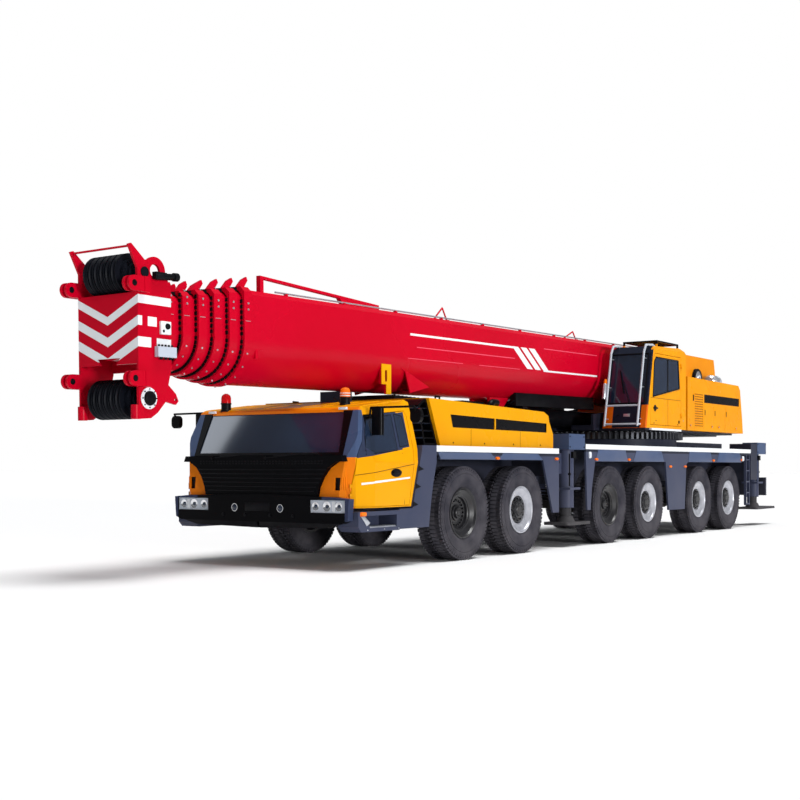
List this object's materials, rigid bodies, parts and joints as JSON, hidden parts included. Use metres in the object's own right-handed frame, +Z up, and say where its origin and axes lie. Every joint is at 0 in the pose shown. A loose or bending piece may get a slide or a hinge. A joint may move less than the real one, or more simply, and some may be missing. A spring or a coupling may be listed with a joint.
{
  "type": "mobile crane",
  "caption": "Truck-mounted crane with a telescopic boom laid over its cab, slewing upper works with a glazed cabin, steered wheels and sliding outriggers.",
  "frame": {"origin": "on the ground under the middle of the whole vehicle", "axes": "+X to the front of the carrier, +Y to its left side, +Z up"},
  "size_m": [17.8047, 4.05, 3.5516],
  "materials": {
    "tyre": "vulcanised",
    "axle_steel": "painted dark",
    "boom_red": "gloss enamel",
    "carrier_blue": "gloss enamel",
    "deck_grey": "tread plate",
    "jack_steel": "machined",
    "ring_steel": "machined teeth",
    "cover_yellow": "gloss enamel",
    "cab_orange": "gloss enamel",
    "window_glass": "tinted",
    "mask_black": "moulded",
    "seat_black": "woven",
    "lamp_lens": "clear lens",
    "sheave_black": "cast nylon",
    "rod_chrome": "polished",
    "drum_grey": "painted"
  },
  "bodies": {
    "root": {"chassis_frame": "carrier_blue", "axle_beams": "axle_steel", "decks": "deck_grey", "side_panels": "carrier_blue", "slew_ring": "ring_steel", "engine_cover": "cover_yellow", "carrier_cab_shell": "cab_orange", "carrier_cab_glass": "window_glass", "carrier_cab_fascia": "mask_black", "carrier_cab_interior": "seat_black", "lamps": "lamp_lens"},
    "wheel_1_left": {"wheel_1_left": "tyre"},
    "knuckle_1_left": {"knuckle_1_left": "axle_steel"},
    "wheel_1_right": {"wheel_1_right": "tyre"},
    "knuckle_1_right": {"knuckle_1_right": "axle_steel"},
    "wheel_2_left": {"wheel_2_left": "tyre"},
    "knuckle_2_left": {"knuckle_2_left": "axle_steel"},
    "wheel_2_right": {"wheel_2_right": "tyre"},
    "knuckle_2_right": {"knuckle_2_right": "axle_steel"},
    "wheel_3_left": {"wheel_3_left": "tyre"},
    "knuckle_3_left": {"knuckle_3_left": "axle_steel"},
    "wheel_3_right": {"wheel_3_right": "tyre"},
    "knuckle_3_right": {"knuckle_3_right": "axle_steel"},
    "wheel_4_left": {"wheel_4_left": "tyre"},
    "wheel_4_right": {"wheel_4_right": "tyre"},
    "wheel_5_left": {"wheel_5_left": "tyre"},
    "knuckle_5_left": {"knuckle_5_left": "axle_steel"},
    "wheel_5_right": {"wheel_5_right": "tyre"},
    "knuckle_5_right": {"knuckle_5_right": "axle_steel"},
    "wheel_6_left": {"wheel_6_left": "tyre"},
    "knuckle_6_left": {"knuckle_6_left": "axle_steel"},
    "wheel_6_right": {"wheel_6_right": "tyre"},
    "knuckle_6_right": {"knuckle_6_right": "axle_steel"},
    "carrier_door_left": {"carrier_door_left": "carrier_blue"},
    "carrier_door_right": {"carrier_door_right": "carrier_blue"},
    "outrigger_front_left": {"outrigger_front_left": "carrier_blue"},
    "jack_front_left": {"jack_front_left": "jack_steel"},
    "outrigger_front_right": {"outrigger_front_right": "carrier_blue"},
    "jack_front_right": {"jack_front_right": "jack_steel"},
    "outrigger_rear_left": {"outrigger_rear_left": "carrier_blue"},
    "jack_rear_left": {"jack_rear_left": "jack_steel"},
    "outrigger_rear_right": {"outrigger_rear_right": "carrier_blue"},
    "jack_rear_right": {"jack_rear_right": "jack_steel"},
    "turntable": {"turntable": "cab_orange", "power_house": "cab_orange", "operator_cab_shell": "cab_orange", "operator_cab_glass": "window_glass", "operator_cab_interior": "seat_black"},
    "operator_cab_door": {"operator_cab_door": "cab_orange"},
    "winch_drum": {"winch_drum": "drum_grey"},
    "boom_base": {"boom_base": "boom_red"},
    "telescope_1": {"telescope_1": "boom_red"},
    "telescope_2": {"telescope_2": "boom_red"},
    "telescope_3": {"telescope_3": "boom_red"},
    "telescope_4": {"telescope_4": "boom_red"},
    "telescope_5": {"telescope_5": "boom_red"},
    "telescope_6": {"telescope_6": "boom_red", "head_sheaves": "sheave_black"},
    "luff_barrel": {"luff_barrel": "boom_red"},
    "luff_rod": {"luff_rod": "rod_chrome"}
  },
  "joints": [
    {"name": "steer_1_left", "type": "hinge", "parent": "root", "child": "knuckle_1_left", "pos_m": [3.9, 1.08, 0.62], "axis": [0, 0, 1], "range_deg": [-30, 30]},
    {"name": "roll_1_left", "type": "hinge", "parent": "knuckle_1_left", "child": "wheel_1_left", "pos_m": [3.9, 1.285, 0.62], "axis": [0, 1, 0], "continuous": true},
    {"name": "steer_1_right", "type": "hinge", "parent": "root", "child": "knuckle_1_right", "pos_m": [3.9, -1.08, 0.62], "axis": [0, 0, 1], "range_deg": [-30, 30]},
    {"name": "roll_1_right", "type": "hinge", "parent": "knuckle_1_right", "child": "wheel_1_right", "pos_m": [3.9, -1.285, 0.62], "axis": [0, 1, 0], "continuous": true},
    {"name": "steer_2_left", "type": "hinge", "parent": "root", "child": "knuckle_2_left", "pos_m": [2.35, 1.08, 0.62], "axis": [0, 0, 1], "range_deg": [-23.2, 23.2]},
    {"name": "roll_2_left", "type": "hinge", "parent": "knuckle_2_left", "child": "wheel_2_left", "pos_m": [2.35, 1.285, 0.62], "axis": [0, 1, 0], "continuous": true},
    {"name": "steer_2_right", "type": "hinge", "parent": "root", "child": "knuckle_2_right", "pos_m": [2.35, -1.08, 0.62], "axis": [0, 0, 1], "range_deg": [-23.2, 23.2]},
    {"name": "roll_2_right", "type": "hinge", "parent": "knuckle_2_right", "child": "wheel_2_right", "pos_m": [2.35, -1.285, 0.62], "axis": [0, 1, 0], "continuous": true},
    {"name": "steer_3_left", "type": "hinge", "parent": "root", "child": "knuckle_3_left", "pos_m": [-0.55, 1.08, 0.62], "axis": [0, 0, 1], "range_deg": [-8.5, 8.5]},
    {"name": "roll_3_left", "type": "hinge", "parent": "knuckle_3_left", "child": "wheel_3_left", "pos_m": [-0.55, 1.285, 0.62], "axis": [0, 1, 0], "continuous": true},
    {"name": "steer_3_right", "type": "hinge", "parent": "root", "child": "knuckle_3_right", "pos_m": [-0.55, -1.08, 0.62], "axis": [0, 0, 1], "range_deg": [-8.5, 8.5]},
    {"name": "roll_3_right", "type": "hinge", "parent": "knuckle_3_right", "child": "wheel_3_right", "pos_m": [-0.55, -1.285, 0.62], "axis": [0, 1, 0], "continuous": true},
    {"name": "roll_4_left", "type": "hinge", "parent": "root", "child": "wheel_4_left", "pos_m": [-2.1, 1.285, 0.62], "axis": [0, 1, 0], "continuous": true},
    {"name": "roll_4_right", "type": "hinge", "parent": "root", "child": "wheel_4_right", "pos_m": [-2.1, -1.285, 0.62], "axis": [0, 1, 0], "continuous": true},
    {"name": "steer_5_left", "type": "hinge", "parent": "root", "child": "knuckle_5_left", "pos_m": [-4.42, 1.08, 0.62], "axis": [0, 0, 1], "range_deg": [-12.6, 12.6]},
    {"name": "roll_5_left", "type": "hinge", "parent": "knuckle_5_left", "child": "wheel_5_left", "pos_m": [-4.42, 1.285, 0.62], "axis": [0, 1, 0], "continuous": true},
    {"name": "steer_5_right", "type": "hinge", "parent": "root", "child": "knuckle_5_right", "pos_m": [-4.42, -1.08, 0.62], "axis": [0, 0, 1], "range_deg": [-12.6, 12.6]},
    {"name": "roll_5_right", "type": "hinge", "parent": "knuckle_5_right", "child": "wheel_5_right", "pos_m": [-4.42, -1.285, 0.62], "axis": [0, 1, 0], "continuous": true},
    {"name": "steer_6_left", "type": "hinge", "parent": "root", "child": "knuckle_6_left", "pos_m": [-5.97, 1.08, 0.62], "axis": [0, 0, 1], "range_deg": [-20.5, 20.5]},
    {"name": "roll_6_left", "type": "hinge", "parent": "knuckle_6_left", "child": "wheel_6_left", "pos_m": [-5.97, 1.285, 0.62], "axis": [0, 1, 0], "continuous": true},
    {"name": "steer_6_right", "type": "hinge", "parent": "root", "child": "knuckle_6_right", "pos_m": [-5.97, -1.08, 0.62], "axis": [0, 0, 1], "range_deg": [-20.5, 20.5]},
    {"name": "roll_6_right", "type": "hinge", "parent": "knuckle_6_right", "child": "wheel_6_right", "pos_m": [-5.97, -1.285, 0.62], "axis": [0, 1, 0], "continuous": true},
    {"name": "carrier_door_left_hinge", "type": "hinge", "parent": "root", "child": "carrier_door_left", "pos_m": [6.179, 1.3, 1.3], "axis": [0, 0, -1], "range_deg": [0, 70]},
    {"name": "carrier_door_right_hinge", "type": "hinge", "parent": "root", "child": "carrier_door_right", "pos_m": [6.179, -1.3, 1.3], "axis": [0, 0, 1], "range_deg": [0, 70]},
    {"name": "outrigger_front_left_slide", "type": "slide", "parent": "root", "child": "outrigger_front_left", "axis": [0, 1, 0], "range_m": [0, 1.7]},
    {"name": "jack_front_left_slide", "type": "slide", "parent": "outrigger_front_left", "child": "jack_front_left", "axis": [0, 0, -1], "range_m": [0, 0.55]},
    {"name": "outrigger_front_right_slide", "type": "slide", "parent": "root", "child": "outrigger_front_right", "axis": [0, -1, 0], "range_m": [0, 1.7]},
    {"name": "jack_front_right_slide", "type": "slide", "parent": "outrigger_front_right", "child": "jack_front_right", "axis": [0, 0, -1], "range_m": [0, 0.55]},
    {"name": "outrigger_rear_left_slide", "type": "slide", "parent": "root", "child": "outrigger_rear_left", "axis": [0, 1, 0], "range_m": [0, 1.7]},
    {"name": "jack_rear_left_slide", "type": "slide", "parent": "outrigger_rear_left", "child": "jack_rear_left", "axis": [0, 0, -1], "range_m": [0, 0.55]},
    {"name": "outrigger_rear_right_slide", "type": "slide", "parent": "root", "child": "outrigger_rear_right", "axis": [0, -1, 0], "range_m": [0, 1.7]},
    {"name": "jack_rear_right_slide", "type": "slide", "parent": "outrigger_rear_right", "child": "jack_rear_right", "axis": [0, 0, -1], "range_m": [0, 0.55]},
    {"name": "slew", "type": "hinge", "parent": "root", "child": "turntable", "pos_m": [-3.5, 0, 1.78], "axis": [0, 0, 1], "continuous": true},
    {"name": "operator_cab_door_hinge", "type": "hinge", "parent": "turntable", "child": "operator_cab_door", "pos_m": [-3.556, 1.463, 2.5], "axis": [0, 0, 1], "range_deg": [0, 90]},
    {"name": "winch", "type": "hinge", "parent": "turntable", "child": "winch_drum", "pos_m": [-7.34, 0, 3.03], "axis": [0, 1, 0], "continuous": true},
    {"name": "luff", "type": "hinge", "parent": "turntable", "child": "boom_base", "pos_m": [-6.4, 0, 2.945], "axis": [0, -1, 0], "range_deg": [0, 80]},
    {"name": "telescope_1_slide", "type": "slide", "parent": "boom_base", "child": "telescope_1", "axis": [0.9999, 0, -0.0157], "range_m": [0, 8.6]},
    {"name": "telescope_2_slide", "type": "slide", "parent": "telescope_1", "child": "telescope_2", "axis": [0.9999, 0, -0.0157], "range_m": [0, 8.6]},
    {"name": "telescope_3_slide", "type": "slide", "parent": "telescope_2", "child": "telescope_3", "axis": [0.9999, 0, -0.0157], "range_m": [0, 8.6]},
    {"name": "telescope_4_slide", "type": "slide", "parent": "telescope_3", "child": "telescope_4", "axis": [0.9999, 0, -0.0157], "range_m": [0, 8.6]},
    {"name": "telescope_5_slide", "type": "slide", "parent": "telescope_4", "child": "telescope_5", "axis": [0.9999, 0, -0.0157], "range_m": [0, 8.6]},
    {"name": "telescope_6_slide", "type": "slide", "parent": "telescope_5", "child": "telescope_6", "axis": [0.9999, 0, -0.0157], "range_m": [0, 8.6]},
    {"name": "luff_barrel_tilt", "type": "hinge", "parent": "turntable", "child": "luff_barrel", "pos_m": [-3.9, 0, 2.05], "axis": [0, -1, 0], "range_deg": [0, 93]},
    {"name": "luff_rod_slide", "type": "slide", "parent": "luff_barrel", "child": "luff_rod", "axis": [1, 0, 0.0083], "range_m": [0, 3.2]}
  ],
  "couplings": [
    {"joint": "steer_1_right", "follows": "steer_1_left", "ratio": 1},
    {"joint": "steer_2_left", "follows": "steer_1_left", "ratio": 0.7727},
    {"joint": "steer_2_right", "follows": "steer_1_left", "ratio": 0.7727},
    {"joint": "steer_3_left", "follows": "steer_1_left", "ratio": 0.2828},
    {"joint": "steer_3_right", "follows": "steer_1_left", "ratio": 0.2828},
    {"joint": "steer_5_left", "follows": "steer_1_left", "ratio": -0.4195},
    {"joint": "steer_5_right", "follows": "steer_1_left", "ratio": -0.4195},
    {"joint": "steer_6_left", "follows": "steer_1_left", "ratio": -0.6808},
    {"joint": "steer_6_right", "follows": "steer_1_left", "ratio": -0.6808},
    {"joint": "luff_barrel_tilt", "follows": "luff", "ratio": 1.1542},
    {"joint": "luff_rod_slide", "follows": "luff", "m_per_rad": 2.2525}
  ]
}
